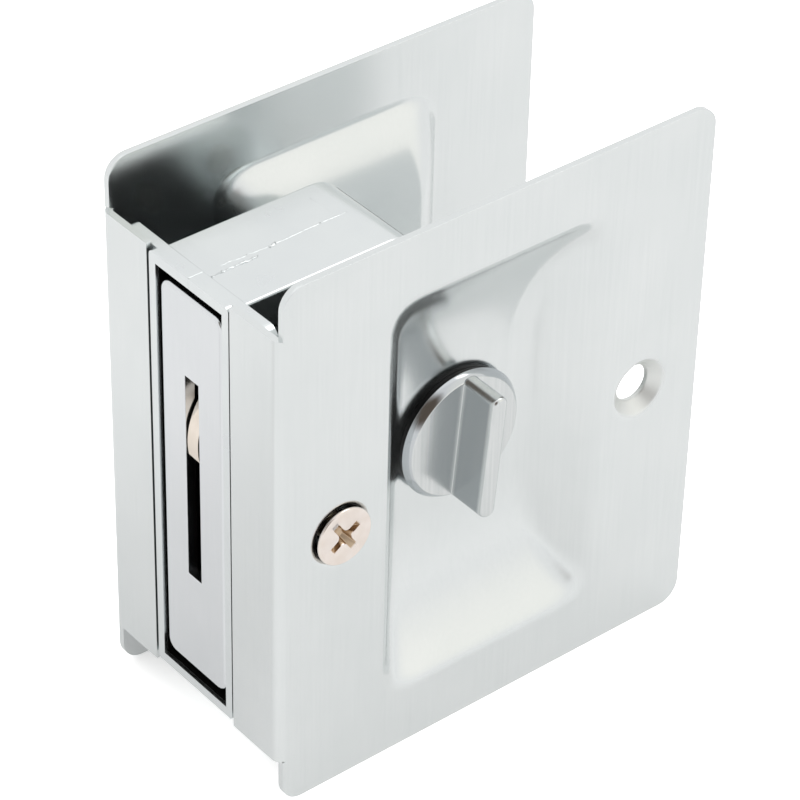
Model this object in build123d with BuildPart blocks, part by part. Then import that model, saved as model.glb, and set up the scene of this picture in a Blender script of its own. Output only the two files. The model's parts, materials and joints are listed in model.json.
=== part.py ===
from build123d import *
from math import atan2, cos, sin, sqrt, tan
import os

# Notch-type pocket door lock, in millimetres.
# X runs from the door's edge into the door, Y from the thumb-turn side to the release side, Z up.
# The origin is where the turn's spindle crosses the door's mid-plane.

# Door and face plates
PLATE_WIDTH = 71.0
PLATE_HEIGHT = 82.5
PLATE_CORNER = 3.2
SHEET = 1.0
DOOR_GAP = 35.0
FLANGE_HEIGHT = 68.0
FLANGE_END = 8.6
BEND_RADIUS = 1.5

# Finger cup drawn into each plate: sloping sides, and a floor that sweeps up to both ends
CUP_WIDTH = 35.6
CUP_HEIGHT = 63.2
CUP_DEPTH = 8.4
CUP_SIDE_RUN = 7.1
CUP_FLAT_HALF = 10.5
CUP_CORNER = 5.2
CUP_SPARE = 0.4
CUP_VALLEY = 3.0
CUP_LIP = 2.0
TURN_HOLE = 6.1

# Dimpled screw holes, by distance from the door's edge
SCREW_FROM_EDGE = 10.1
FIXING_FROM_EDGE = 60.9
FIXING_RADIUS = 2.7
COUNTERSINK_RADIUS = 4.6
COUNTERSINK_DEPTH = 1.7
COUNTERSINK_LIP = 0.8
DIMPLE_DEPTH = 2.3
DIMPLE_SKIN_RADIUS = 5.3
DIMPLE_LIP_RADIUS = 3.5

# Case, split in two at the mid-plane
CASE_HALF = 8.25
CASE_HEIGHT = 67.0
CASE_DEPTH = 30.5
CASE_CORNER = 5.0
CASE_WALL = 1.6
CASE_STEP = 0.5
CAVITY_HALF = 6.9
TAIL_DEPTH = 45.2
TAIL_HEIGHT = 37.0
TAIL_CORNER = 6.0
INNER_CORNER = 3.0
FRAME_FACE = 0.1
FRAME_HALF = 8.25
FRAME_CORNER = 0.8
EAR_BACK = 2.6
EAR_HALF = 15.2
EAR_CORNER = 2.0
POST_RADIUS = 4.0
POST_END = 15.2
RIVET_RADIUS = 1.25
RIVET_HEAD_RADIUS = 2.2
RIVET_HEAD_HEIGHT = 0.45
RIVET_PILLAR = 2.6
RIVET_BLOCK_FROM_EDGE = 25.0
RIVET_BLOCK_Z = 27.0
RIVET_TAIL_FROM_EDGE = 41.5
RIVET_TAIL_Z = 13.5

# Edge pull
PULL_FACE = 0.35
PULL_THICK = 1.6
PULL_HALF_WIDTH = 6.4
PULL_HALF_HEIGHT = 30.3
PULL_CORNER = 1.8
PULL_EDGE = 0.5
SLOT_WIDTH = 2.9
SLOT_HEIGHT = 32.2
SLOT_Z = 1.6
WEB_THICK = 1.2
WEB_DEPTH = 4.6
WEB_HALF_HEIGHT = 28.3
PULL_PIVOT_FROM_EDGE = 5.5
PULL_PIVOT_Z = 19.0
PULL_PIVOT_PAD = 3.0
PULL_PIN_RADIUS = 1.25

# Hook and its forked tail
HOOK_HALF = 1.1
HOOK_PIVOT_FROM_EDGE = 16.5
HOOK_PIVOT_Z = -14.0
HOOK_PIN_RADIUS = 2.0
HOOK_EYE = 6.5
HOOK_BOSS = 4.5
NOSE_CENTRE_FROM_EDGE = 11.05
NOSE_CENTRE_Z = 7.4
NOSE_RADIUS = 10.7
NOSE_START = 134.7
NOSE_SWEEP = 55.5
TIP_MIDDLE = (1.1, 4.7)
TIP_END = (2.4, 5.0)
GULLET_ROOT = (5.9, 8.0)
GULLET_END = (8.7, 4.7)
BELLY_MIDDLE = (9.9, -4.0)
BELLY_END = (10.2, -12.4)
BACK_START = (22.7, -12.0)
BACK_MIDDLE = (18.0, 5.0)
BACK_END = (10.6, 16.0)
CROWN = (7.0, 16.9)
TAIL_ANGLE = 16.12
FORK_REACH = 18.6
FORK_HALF = 4.7
FORK_SLOT_HALF = 2.4
FORK_SLOT_ROOT = 14.0

# Hub, crank and spindle on the turn's axis
HUB_JOURNAL = 6.0
HUB_SHOULDER = 7.2
HUB_WAIST = 4.2
HUB_END = 8.2
HUB_SHOULDER_END = 6.75
HUB_WAIST_HALF = 1.6
DETENT_FLAT = 6.4
CRANK_RADIUS = 9.0
CRANK_ANGLE = 261.38
CRANK_THICK = 2.6
CRANK_END = 2.7
CRANK_PIN_RADIUS = 1.5
CRANK_PIN_TIP = 3.5
SPINDLE_SIDE = 5.0
SPINDLE_HALF = 11.2

# Thumb-turn, washer, release and their rings
TURN_RADIUS = 9.75
TURN_BEVEL_RADIUS = 8.0
TURN_BACK = 11.15
TURN_RIM = 11.6
TURN_FACE = 12.3
TURN_STEM = 5.9
TURN_STEM_END = 8.3
TURN_LEAN = 5.0
WING_LENGTH = 18.9
WING_THICK = 2.5
WING_END = 1.15
WING_EDGE = 0.4
RING_GROOVE = 5.3
RING_RADIUS = 7.6
RING_LOW = 8.5
RING_HIGH = 8.95
RING_PLAY = 0.03
RING_MOUTH = 6.0
RELEASE_RADIUS = 8.2
RELEASE_BEVEL_RADIUS = 7.0
RELEASE_FACE = 12.1
RELEASE_BACK = 10.2
RELEASE_RIM = 11.4
COIN_SLOT_LENGTH = 11.0
COIN_SLOT_WIDTH = 1.9
COIN_SLOT_DEPTH = 0.7
WASHER_RADIUS = 9.3
WASHER_THICK = 1.0

# Screws that hold the plates to the case
SCREW_HEAD_RADIUS = 4.25
SCREW_RADIUS = 2.0
SCREW_PROUD = 0.7
SCREW_LENGTH = 10.8
SCREW_LAND = 0.35
SCREW_CONE = 2.25
RECESS_ARM = 5.2
RECESS_WIDTH = 1.1
RECESS_TURN = 34.0
RECESS_DEPTH = 1.6

# Springs and running play
STRIP = 0.4
PULL_SPRING_HALF = 2.0
PULL_SPRING_BEND = 1.5
DETENT_LEAF_HALF_HEIGHT = 9.5
DETENT_LEAF_BOW = 0.85
DETENT_LEAF_FRONT = 5.2
DETENT_LEAF_WIDTH = 2.4
PIN_PLAY = 0.05
FIXED_PLAY = 0.02
SQUARE_PLAY = 0.05
TOUCH = 0.01

EDGE_X = -PLATE_WIDTH / 2
OUTER_Y = DOOR_GAP / 2 + SHEET
CUP_FLOOR_Y = OUTER_Y - CUP_DEPTH
front_face = Plane.XZ.offset(OUTER_Y)


def from_edge(distance):
    """X of a point this far in from the door's edge."""
    return EDGE_X + distance


def spot(point):
    """Place of a point that is given by its distance from the door's edge and its height."""
    return (from_edge(point[0]), point[1])


def cup_edges(plate, y):
    """Edges of the cup that lie in the plane at this Y."""
    level = plate.edges().filter_by_position(Axis.Y, y - TOUCH, y + TOUCH)
    return level.filter_by(
        lambda edge: abs(edge.center().X) < CUP_WIDTH / 2 + 2 * SHEET
        and abs(edge.center().Z) < CUP_HEIGHT / 2 + 2 * SHEET
    )


def cup_form(skin):
    """Solid that fills the finger cup of the front plate, grown outwards by skin."""
    slope = atan2(CUP_DEPTH, CUP_SIDE_RUN)
    mouth = CUP_WIDTH / 2 + skin / sin(slope)
    floor = mouth - (CUP_DEPTH + skin) / tan(slope)
    floor_y = -CUP_FLOOR_Y + skin
    end_run = CUP_HEIGHT / 2 - CUP_FLAT_HALF
    sweep = (end_run**2 + CUP_DEPTH**2) / (2 * CUP_DEPTH)
    sweep_y = -CUP_FLOOR_Y - sweep
    reach = CUP_FLAT_HALF + sqrt((sweep + skin) ** 2 - (sweep_y + OUTER_Y) ** 2)
    middle = atan2(reach - CUP_FLAT_HALF, -OUTER_Y - sweep_y) / 2
    mouth_height = reach + CUP_SPARE
    floor_height = mouth_height - mouth + floor
    with BuildPart() as form:
        for half, half_height, y in ((mouth, mouth_height, -OUTER_Y), (floor, floor_height, floor_y)):
            with BuildSketch(Plane.XZ.offset(-y)):
                RectangleRounded(2 * half, 2 * half_height, CUP_CORNER + skin / sin(slope))
        loft(ruled=True)
        with BuildSketch(Plane.YZ):
            with BuildLine():
                Line((floor_y, -CUP_FLAT_HALF), (floor_y, CUP_FLAT_HALF))
                for side in (1, -1):
                    ThreePointArc(
                        (floor_y, side * CUP_FLAT_HALF),
                        (
                            sweep_y + (sweep + skin) * cos(middle),
                            side * (CUP_FLAT_HALF + (sweep + skin) * sin(middle)),
                        ),
                        (-OUTER_Y, side * reach),
                    )
                Line((-OUTER_Y, -reach), (-OUTER_Y, reach))
            make_face()
        extrude(amount=mouth, both=True, mode=Mode.INTERSECT)
        inside = form.edges().filter_by(lambda edge: edge.center().Y > -OUTER_Y + TOUCH)
        valley = inside.filter_by(
            lambda edge: abs(edge.center().X) > TOUCH
            and (edge.geom_type != GeomType.LINE or abs(edge.tangent_at(0.5).Z) > 1 - TOUCH)
        )
        fillet(valley, CUP_VALLEY + skin)
    return form.part


def case_section(front, inset):
    """Side outline of the case from this far in from the edge, moved in by inset."""
    block_end = from_edge(CASE_DEPTH - inset)
    tail_end = from_edge(TAIL_DEPTH - inset)
    start = from_edge(front)
    height = CASE_HEIGHT - 2 * max(inset, CASE_STEP)
    with BuildSketch() as section:
        with Locations((start, 0)):
            Rectangle(block_end - start, height, align=(Align.MIN, Align.CENTER))
            Rectangle(tail_end - start, TAIL_HEIGHT - 2 * inset, align=(Align.MIN, Align.CENTER))
        corners = section.vertices()
        waist = corners.filter_by_position(Axis.X, block_end - TOUCH, block_end + TOUCH)
        fillet(waist.sort_by(Axis.Y)[0::3], CASE_CORNER - inset)
        corners = section.vertices()
        waist = corners.filter_by_position(Axis.X, block_end - TOUCH, block_end + TOUCH)
        inner = waist.filter_by(lambda corner: abs(corner.Y) < TAIL_HEIGHT / 2 + TOUCH)
        fillet(inner, INNER_CORNER)
        tail = section.vertices().filter_by_position(Axis.X, tail_end - TOUCH, tail_end + TOUCH)
        fillet(tail, TAIL_CORNER - inset)
    return section.sketch


# Face plates
with BuildPart() as front_plate:
    with BuildSketch(front_face):
        RectangleRounded(PLATE_WIDTH, PLATE_HEIGHT, PLATE_CORNER)
    extrude(amount=-SHEET)
    add(cup_form(SHEET))
    add(cup_form(0), mode=Mode.SUBTRACT)
    fillet(cup_edges(front_plate, -OUTER_Y), CUP_LIP)
    fillet(cup_edges(front_plate, -OUTER_Y + SHEET), CUP_LIP - SHEET)
    # Flange bent round the door's edge
    with BuildSketch(front_face):
        with Locations((EDGE_X, 0)):
            Rectangle(
                BEND_RADIUS,
                FLANGE_HEIGHT,
                align=(Align.MIN, Align.CENTER),
            )
    extrude(amount=-SHEET, mode=Mode.SUBTRACT)
    bend_x = EDGE_X + BEND_RADIUS
    bend_y = -OUTER_Y + BEND_RADIUS
    with BuildSketch(Plane.XY.offset(-FLANGE_HEIGHT / 2)):
        with BuildLine():
            CenterArc((bend_x, bend_y), BEND_RADIUS, 180, 90)
            Polyline(
                (EDGE_X, bend_y),
                (EDGE_X, -FLANGE_END),
                (EDGE_X + SHEET, -FLANGE_END),
                (EDGE_X + SHEET, bend_y),
            )
            CenterArc((bend_x, bend_y), BEND_RADIUS - SHEET, 180, 90)
            Line((bend_x, -OUTER_Y + SHEET), (bend_x, -OUTER_Y))
        make_face()
    extrude(amount=FLANGE_HEIGHT)
    # Dimpled holes for the case screw and for the fixing screw
    for reach in (SCREW_FROM_EDGE, FIXING_FROM_EDGE):
        mouth = (from_edge(reach), -OUTER_Y, 0)
        with BuildSketch(Plane(mouth)):
            with BuildLine():
                Polyline(
                    (0, SHEET / 2),
                    (DIMPLE_SKIN_RADIUS, SHEET / 2),
                    (DIMPLE_SKIN_RADIUS, SHEET),
                    (DIMPLE_LIP_RADIUS, DIMPLE_DEPTH),
                    (0, DIMPLE_DEPTH),
                    close=True,
                )
            make_face()
        revolve(axis=Axis(mouth, (0, 1, 0)))
        with BuildSketch(Plane(mouth)):
            with BuildLine():
                Polyline(
                    (0, 0),
                    (COUNTERSINK_RADIUS, 0),
                    (FIXING_RADIUS, COUNTERSINK_DEPTH),
                    (FIXING_RADIUS, DIMPLE_DEPTH),
                    (0, DIMPLE_DEPTH),
                    close=True,
                )
            make_face()
        revolve(axis=Axis(mouth, (0, 1, 0)), mode=Mode.SUBTRACT)
    rims = front_plate.edges().filter_by_position(Axis.Y, -OUTER_Y - TOUCH, -OUTER_Y + TOUCH)
    rounds = rims.filter_by(GeomType.CIRCLE)
    fillet(rounds.filter_by(lambda edge: abs(edge.radius - COUNTERSINK_RADIUS) < TOUCH), COUNTERSINK_LIP)
    # Hole for the turn's stem in the cup's floor
    with BuildSketch(front_face.offset(-CUP_DEPTH)):
        Circle(TURN_HOLE)
    extrude(amount=-SHEET, mode=Mode.SUBTRACT)

with BuildPart() as rear_plate:
    mirror(front_plate.part, about=Plane.XZ)

# Case, made whole and then split
case_outer = case_section(EAR_BACK, 0)
case_inner = case_section(0, CASE_WALL)
hook_pivot = (from_edge(HOOK_PIVOT_FROM_EDGE), HOOK_PIVOT_Z)
pull_pivot = (from_edge(PULL_PIVOT_FROM_EDGE), PULL_PIVOT_Z)
screw_spot = (from_edge(SCREW_FROM_EDGE), 0)
rivet_spots = []
for reach, height in ((RIVET_BLOCK_FROM_EDGE, RIVET_BLOCK_Z), (RIVET_TAIL_FROM_EDGE, RIVET_TAIL_Z)):
    rivet_spots.append((from_edge(reach), height))
    rivet_spots.append((from_edge(reach), -height))

with BuildPart() as case:
    with BuildSketch(Plane.XZ):
        add(case_outer)
    extrude(amount=CASE_HALF, both=True)
    with BuildSketch(Plane.XZ):
        with Locations(screw_spot):
            Circle(POST_RADIUS)
    extrude(amount=POST_END, both=True)
    with BuildSketch(Plane.YZ.offset(from_edge(SHEET))):
        RectangleRounded(2 * EAR_HALF, CASE_HEIGHT, EAR_CORNER)
    extrude(amount=EAR_BACK - SHEET)
    with BuildSketch(Plane.YZ.offset(from_edge(FRAME_FACE))):
        RectangleRounded(2 * FRAME_HALF, CASE_HEIGHT, FRAME_CORNER)
    extrude(amount=SHEET - FRAME_FACE)
    # Cavity, open at the door's edge
    with BuildSketch(Plane.XZ):
        add(case_inner)
    extrude(amount=CAVITY_HALF, both=True, mode=Mode.SUBTRACT)
    # Bosses that centre the hook, and pillars for the rivets
    with BuildSketch(Plane.XZ):
        with Locations(hook_pivot):
            Circle(HOOK_BOSS)
        with Locations(rivet_spots):
            Circle(RIVET_PILLAR)
    extrude(amount=CAVITY_HALF, both=True)
    with BuildSketch(Plane.XZ):
        with Locations(hook_pivot):
            Circle(HOOK_BOSS + TOUCH)
    extrude(amount=HOOK_HALF + 5 * PIN_PLAY, both=True, mode=Mode.SUBTRACT)
    # Holes for the pins, the rivets and the hub
    with BuildSketch(Plane.XZ):
        Circle(HUB_JOURNAL + PIN_PLAY)
        with Locations(hook_pivot):
            Circle(HOOK_PIN_RADIUS + FIXED_PLAY)
        with Locations(pull_pivot):
            Circle(PULL_PIN_RADIUS + FIXED_PLAY)
        with Locations(rivet_spots):
            Circle(RIVET_RADIUS + FIXED_PLAY)
    extrude(amount=CASE_HALF, both=True, mode=Mode.SUBTRACT)
    # Blind screw holes in the posts
    for side in (1, -1):
        with BuildSketch(Plane.XZ.offset(side * POST_END)):
            with Locations(screw_spot):
                Circle(SCREW_RADIUS + FIXED_PLAY)
        extrude(amount=-side * (POST_END - CAVITY_HALF - SHEET), mode=Mode.SUBTRACT)

with BuildPart() as case_front_half:
    add(case.part)
    split(bisect_by=Plane.XZ, keep=Keep.TOP)

with BuildPart() as case_rear_half:
    add(case.part)
    split(bisect_by=Plane.XZ, keep=Keep.BOTTOM)

with BuildPart() as case_rivets:
    with BuildSketch(Plane.XZ):
        with Locations(rivet_spots):
            Circle(RIVET_RADIUS)
    extrude(amount=CASE_HALF, both=True)
    for side in (1, -1):
        with BuildSketch(Plane.XZ.offset(side * CASE_HALF)):
            with Locations(rivet_spots):
                Circle(RIVET_HEAD_RADIUS)
        extrude(amount=side * RIVET_HEAD_HEIGHT)

# Edge pull with its side webs and pivot
with BuildPart() as edge_pull:
    with BuildSketch(Plane.YZ.offset(from_edge(PULL_FACE))):
        RectangleRounded(2 * PULL_HALF_WIDTH, 2 * PULL_HALF_HEIGHT, PULL_CORNER)
    extrude(amount=PULL_THICK)
    fillet(edge_pull.faces().sort_by(Axis.X)[0].edges(), PULL_EDGE)
    with BuildSketch(Plane.YZ.offset(from_edge(PULL_FACE))):
        with Locations((0, SLOT_Z)):
            Rectangle(SLOT_WIDTH, SLOT_HEIGHT)
    extrude(amount=PULL_THICK, mode=Mode.SUBTRACT)
    web_start = from_edge(PULL_FACE + PULL_THICK)
    for side in (1, -1):
        with BuildSketch(Plane.XZ.offset(side * PULL_HALF_WIDTH)):
            with Locations((web_start, 0)):
                Rectangle(
                    WEB_DEPTH - PULL_FACE - PULL_THICK,
                    2 * WEB_HALF_HEIGHT,
                    align=(Align.MIN, Align.CENTER),
                )
            with Locations((web_start, PULL_PIVOT_Z)):
                Rectangle(
                    pull_pivot[0] - web_start,
                    2 * PULL_PIVOT_PAD,
                    align=(Align.MIN, Align.CENTER),
                )
            with Locations(pull_pivot):
                Circle(PULL_PIVOT_PAD)
                Circle(PULL_PIN_RADIUS + PIN_PLAY, mode=Mode.SUBTRACT)
        extrude(amount=-side * WEB_THICK)

with BuildPart() as pull_pivot_pin:
    with BuildSketch(Plane.XZ):
        with Locations(pull_pivot):
            Circle(PULL_PIN_RADIUS)
    extrude(amount=CASE_HALF, both=True)

# Bent strip that presses the pull's upper end outwards
roof = CASE_HEIGHT / 2 - CASE_WALL - STRIP / 2
pull_back = from_edge(PULL_FACE + PULL_THICK) + STRIP / 2 + PIN_PLAY
with BuildPart() as pull_spring:
    with BuildSketch(Plane.XZ):
        with BuildLine():
            FilletPolyline(
                (from_edge(CASE_DEPTH - CASE_CORNER - CASE_WALL), roof),
                (from_edge(WEB_DEPTH + PULL_PIVOT_PAD), roof),
                (pull_back, PULL_HALF_HEIGHT - PULL_PIVOT_PAD),
                (from_edge(WEB_DEPTH), PULL_HALF_HEIGHT - 2 * PULL_PIVOT_PAD),
                radius=PULL_SPRING_BEND,
            )
        trace(line_width=STRIP)
    extrude(amount=PULL_SPRING_HALF, both=True)

# Hook: nose, gullet, arm, eye and forked tail
nose_centre = (from_edge(NOSE_CENTRE_FROM_EDGE), NOSE_CENTRE_Z)
with BuildPart() as hook_latch:
    with BuildSketch(Plane.XZ) as hook_outline:
        with BuildLine():
            nose = CenterArc(nose_centre, NOSE_RADIUS, NOSE_START, NOSE_SWEEP)
            tip = ThreePointArc(nose @ 1, spot(TIP_MIDDLE), spot(TIP_END))
            gullet = ThreePointArc(tip @ 1, spot(GULLET_ROOT), spot(GULLET_END))
            belly = ThreePointArc(gullet @ 1, spot(BELLY_MIDDLE), spot(BELLY_END))
            base = Line(belly @ 1, spot(BACK_START))
            back = ThreePointArc(base @ 1, spot(BACK_MIDDLE), spot(BACK_END))
            ThreePointArc(back @ 1, spot(CROWN), nose @ 0)
        make_face()
        with Locations(hook_pivot):
            Circle(HOOK_EYE)
        with Locations(Location(hook_pivot, TAIL_ANGLE)):
            Rectangle(FORK_REACH, 2 * FORK_HALF, align=(Align.MIN, Align.CENTER))
            with Locations((FORK_SLOT_ROOT, 0)):
                Circle(FORK_SLOT_HALF, mode=Mode.SUBTRACT)
                Rectangle(
                    FORK_REACH,
                    2 * FORK_SLOT_HALF,
                    align=(Align.MIN, Align.CENTER),
                    mode=Mode.SUBTRACT,
                )
        with Locations(hook_pivot):
            Circle(HOOK_PIN_RADIUS + PIN_PLAY, mode=Mode.SUBTRACT)
    extrude(amount=HOOK_HALF, both=True)

with BuildPart() as hook_pivot_pin:
    with BuildSketch(Plane.XZ):
        with Locations(hook_pivot):
            Circle(HOOK_PIN_RADIUS)
    extrude(amount=CASE_HALF, both=True)

# Hub that the spindle turns, with its crank arm and two detent flats
crank_spot = Vector(CRANK_RADIUS, 0).rotate(Axis.Z, CRANK_ANGLE)
with BuildPart() as cam_hub:
    with BuildSketch(Plane.XY):
        with BuildLine():
            Polyline(
                (0, -HUB_END),
                (HUB_JOURNAL, -HUB_END),
                (HUB_JOURNAL, -HUB_SHOULDER_END),
                (HUB_SHOULDER, -HUB_SHOULDER_END),
                (HUB_SHOULDER, -HUB_WAIST_HALF),
                (HUB_WAIST, -HUB_WAIST_HALF),
                (HUB_WAIST, HUB_WAIST_HALF),
                (HUB_SHOULDER, HUB_WAIST_HALF),
                (HUB_SHOULDER, HUB_SHOULDER_END),
                (HUB_JOURNAL, HUB_SHOULDER_END),
                (HUB_JOURNAL, HUB_END),
                (0, HUB_END),
                close=True,
            )
        make_face()
    revolve(axis=Axis.Y)
    with BuildSketch(Plane.XZ.offset(-HUB_WAIST_HALF)):
        Circle(HUB_SHOULDER)
        with Locations((crank_spot.X, crank_spot.Y)):
            Circle(CRANK_END)
        make_hull()
    extrude(amount=-CRANK_THICK)
    with BuildSketch(Plane.XZ.offset(HUB_WAIST_HALF)):
        with Locations((DETENT_FLAT, 0)):
            Rectangle(HUB_SHOULDER, 2 * HUB_SHOULDER, align=(Align.MIN, Align.CENTER))
        with Locations((0, DETENT_FLAT)):
            Rectangle(2 * HUB_SHOULDER, HUB_SHOULDER, align=(Align.CENTER, Align.MIN))
    extrude(amount=HUB_SHOULDER_END - HUB_WAIST_HALF, mode=Mode.SUBTRACT)
    with BuildSketch(Plane.XZ):
        Rectangle(SPINDLE_SIDE + 2 * SQUARE_PLAY, SPINDLE_SIDE + 2 * SQUARE_PLAY)
        with Locations((crank_spot.X, crank_spot.Y)):
            Circle(CRANK_PIN_RADIUS + FIXED_PLAY)
    extrude(amount=HUB_END, both=True, mode=Mode.SUBTRACT)

with BuildPart() as crank_pin:
    with BuildSketch(Plane.XZ.offset(CRANK_PIN_TIP)):
        with Locations((crank_spot.X, crank_spot.Y)):
            Circle(CRANK_PIN_RADIUS)
    extrude(amount=-(CRANK_PIN_TIP + HUB_WAIST_HALF + CRANK_THICK))

with BuildPart() as hub_detent_spring:
    leaf_inside = DETENT_FLAT + PIN_PLAY
    with BuildSketch(Plane.XZ.offset(DETENT_LEAF_FRONT)):
        with BuildLine():
            inside = ThreePointArc(
                (leaf_inside + DETENT_LEAF_BOW, -DETENT_LEAF_HALF_HEIGHT),
                (leaf_inside, 0),
                (leaf_inside + DETENT_LEAF_BOW, DETENT_LEAF_HALF_HEIGHT),
            )
            outside = ThreePointArc(
                (leaf_inside + DETENT_LEAF_BOW + STRIP, -DETENT_LEAF_HALF_HEIGHT),
                (leaf_inside + STRIP, 0),
                (leaf_inside + DETENT_LEAF_BOW + STRIP, DETENT_LEAF_HALF_HEIGHT),
            )
            Line(inside @ 0, outside @ 0)
            Line(inside @ 1, outside @ 1)
        make_face()
    extrude(amount=-DETENT_LEAF_WIDTH)

with BuildPart() as turn_spindle:
    with BuildSketch(Plane.XZ):
        Rectangle(SPINDLE_SIDE, SPINDLE_SIDE)
    extrude(amount=SPINDLE_HALF, both=True)

# Thumb-turn: disc with a bevelled rim, wing, and a stem with a ring groove
with BuildPart() as thumb_turn:
    with BuildSketch(Plane.XY):
        with BuildLine():
            Polyline(
                (0, -TURN_FACE),
                (TURN_BEVEL_RADIUS, -TURN_FACE),
                (TURN_RADIUS, -TURN_RIM),
                (TURN_RADIUS, -TURN_BACK),
                (TURN_STEM, -TURN_BACK),
                (TURN_STEM, -RING_HIGH),
                (RING_GROOVE, -RING_HIGH),
                (RING_GROOVE, -RING_LOW),
                (TURN_STEM, -RING_LOW),
                (TURN_STEM, -TURN_STEM_END),
                (0, -TURN_STEM_END),
                close=True,
            )
        make_face()
    revolve(axis=Axis.Y)
    with BuildSketch(front_face):
        with Locations(Location((0, 0), -TURN_LEAN)):
            RectangleRounded(WING_THICK, WING_LENGTH, WING_END)
    extrude(amount=-(OUTER_Y - TURN_RIM))
    fillet(thumb_turn.faces().sort_by(Axis.Y)[0].edges(), WING_EDGE)
    with BuildSketch(Plane.XZ.offset(TURN_STEM_END)):
        Rectangle(SPINDLE_SIDE + 2 * SQUARE_PLAY, SPINDLE_SIDE + 2 * SQUARE_PLAY)
    extrude(amount=SPINDLE_HALF + PIN_PLAY - TURN_STEM_END, mode=Mode.SUBTRACT)

with BuildPart() as turn_washer:
    with BuildSketch(Plane.XZ.offset(CUP_FLOOR_Y)):
        Circle(WASHER_RADIUS)
        Circle(TURN_HOLE, mode=Mode.SUBTRACT)
    extrude(amount=WASHER_THICK)

# Release with a coin slot, in the rear cup
with BuildPart() as release_turn:
    with BuildSketch(Plane.XY):
        with BuildLine():
            Polyline(
                (0, RELEASE_FACE),
                (RELEASE_BEVEL_RADIUS, RELEASE_FACE),
                (RELEASE_RADIUS, RELEASE_RIM),
                (RELEASE_RADIUS, RELEASE_BACK),
                (TURN_STEM, RELEASE_BACK),
                (TURN_STEM, RING_HIGH),
                (RING_GROOVE, RING_HIGH),
                (RING_GROOVE, RING_LOW),
                (TURN_STEM, RING_LOW),
                (TURN_STEM, TURN_STEM_END),
                (0, TURN_STEM_END),
                close=True,
            )
        make_face()
    revolve(axis=Axis.Y)
    with BuildSketch(Plane.XZ.offset(-RELEASE_FACE)):
        Rectangle(COIN_SLOT_WIDTH, COIN_SLOT_LENGTH)
    extrude(amount=COIN_SLOT_DEPTH, mode=Mode.SUBTRACT)
    with BuildSketch(Plane.XZ.offset(-TURN_STEM_END)):
        Rectangle(SPINDLE_SIDE + 2 * SQUARE_PLAY, SPINDLE_SIDE + 2 * SQUARE_PLAY)
    extrude(amount=-(SPINDLE_HALF + PIN_PLAY - TURN_STEM_END), mode=Mode.SUBTRACT)

with BuildPart() as turn_retaining_ring:
    with BuildSketch(Plane.XZ.offset(RING_LOW + RING_PLAY)):
        Circle(RING_RADIUS)
        Circle(RING_GROOVE + PIN_PLAY, mode=Mode.SUBTRACT)
        Rectangle(RING_MOUTH, RING_RADIUS, align=(Align.CENTER, Align.MAX), mode=Mode.SUBTRACT)
    extrude(amount=RING_HIGH - RING_LOW - 2 * RING_PLAY)

with BuildPart() as release_retaining_ring:
    mirror(turn_retaining_ring.part, about=Plane.XZ)

# Screws through the plates into the case's posts
with BuildPart() as front_plate_screw:
    head_top = -OUTER_Y - SCREW_PROUD
    with BuildSketch(Plane((screw_spot[0], head_top, 0))):
        with BuildLine():
            Polyline(
                (0, 0),
                (SCREW_HEAD_RADIUS, 0),
                (SCREW_HEAD_RADIUS, SCREW_LAND),
                (SCREW_RADIUS, SCREW_LAND + SCREW_CONE),
                (SCREW_RADIUS, SCREW_LENGTH),
                (0, SCREW_LENGTH),
                close=True,
            )
        make_face()
    revolve(axis=Axis((screw_spot[0], 0, 0), (0, 1, 0)))
    with BuildSketch(Plane.XZ.offset(-head_top)):
        with Locations(Location(screw_spot, RECESS_TURN)):
            Rectangle(RECESS_ARM, RECESS_WIDTH)
            Rectangle(RECESS_WIDTH, RECESS_ARM)
    extrude(amount=-RECESS_DEPTH, mode=Mode.SUBTRACT)

with BuildPart() as rear_plate_screw:
    mirror(front_plate_screw.part, about=Plane.XZ)

os.makedirs("parts", exist_ok=True)
pieces = {
    "front_plate": front_plate,
    "rear_plate": rear_plate,
    "case_front_half": case_front_half,
    "case_rear_half": case_rear_half,
    "case_rivets": case_rivets,
    "edge_pull": edge_pull,
    "pull_pivot_pin": pull_pivot_pin,
    "pull_spring": pull_spring,
    "hook_latch": hook_latch,
    "hook_pivot_pin": hook_pivot_pin,
    "cam_hub": cam_hub,
    "crank_pin": crank_pin,
    "hub_detent_spring": hub_detent_spring,
    "turn_spindle": turn_spindle,
    "thumb_turn": thumb_turn,
    "turn_washer": turn_washer,
    "release_turn": release_turn,
    "turn_retaining_ring": turn_retaining_ring,
    "release_retaining_ring": release_retaining_ring,
    "front_plate_screw": front_plate_screw,
    "rear_plate_screw": rear_plate_screw,
}
for name, piece in pieces.items():
    piece.part.label = name
    export_step(piece.part, f"parts/{name}.step")
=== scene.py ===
"""Dressing of the pocket door lock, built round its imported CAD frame.

Sizes are in millimetres, in the frame's own axes: +X from the door's edge into the door,
+Y from the thumb-turn side to the release side, +Z up. Meshes are written in metres.
"""

from __future__ import annotations

import json
import logging
import math
import random
from dataclasses import dataclass
from enum import Enum
from typing import Any, Iterable, Sequence

import bmesh
import bpy
from mathutils import Matrix, Vector

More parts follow.
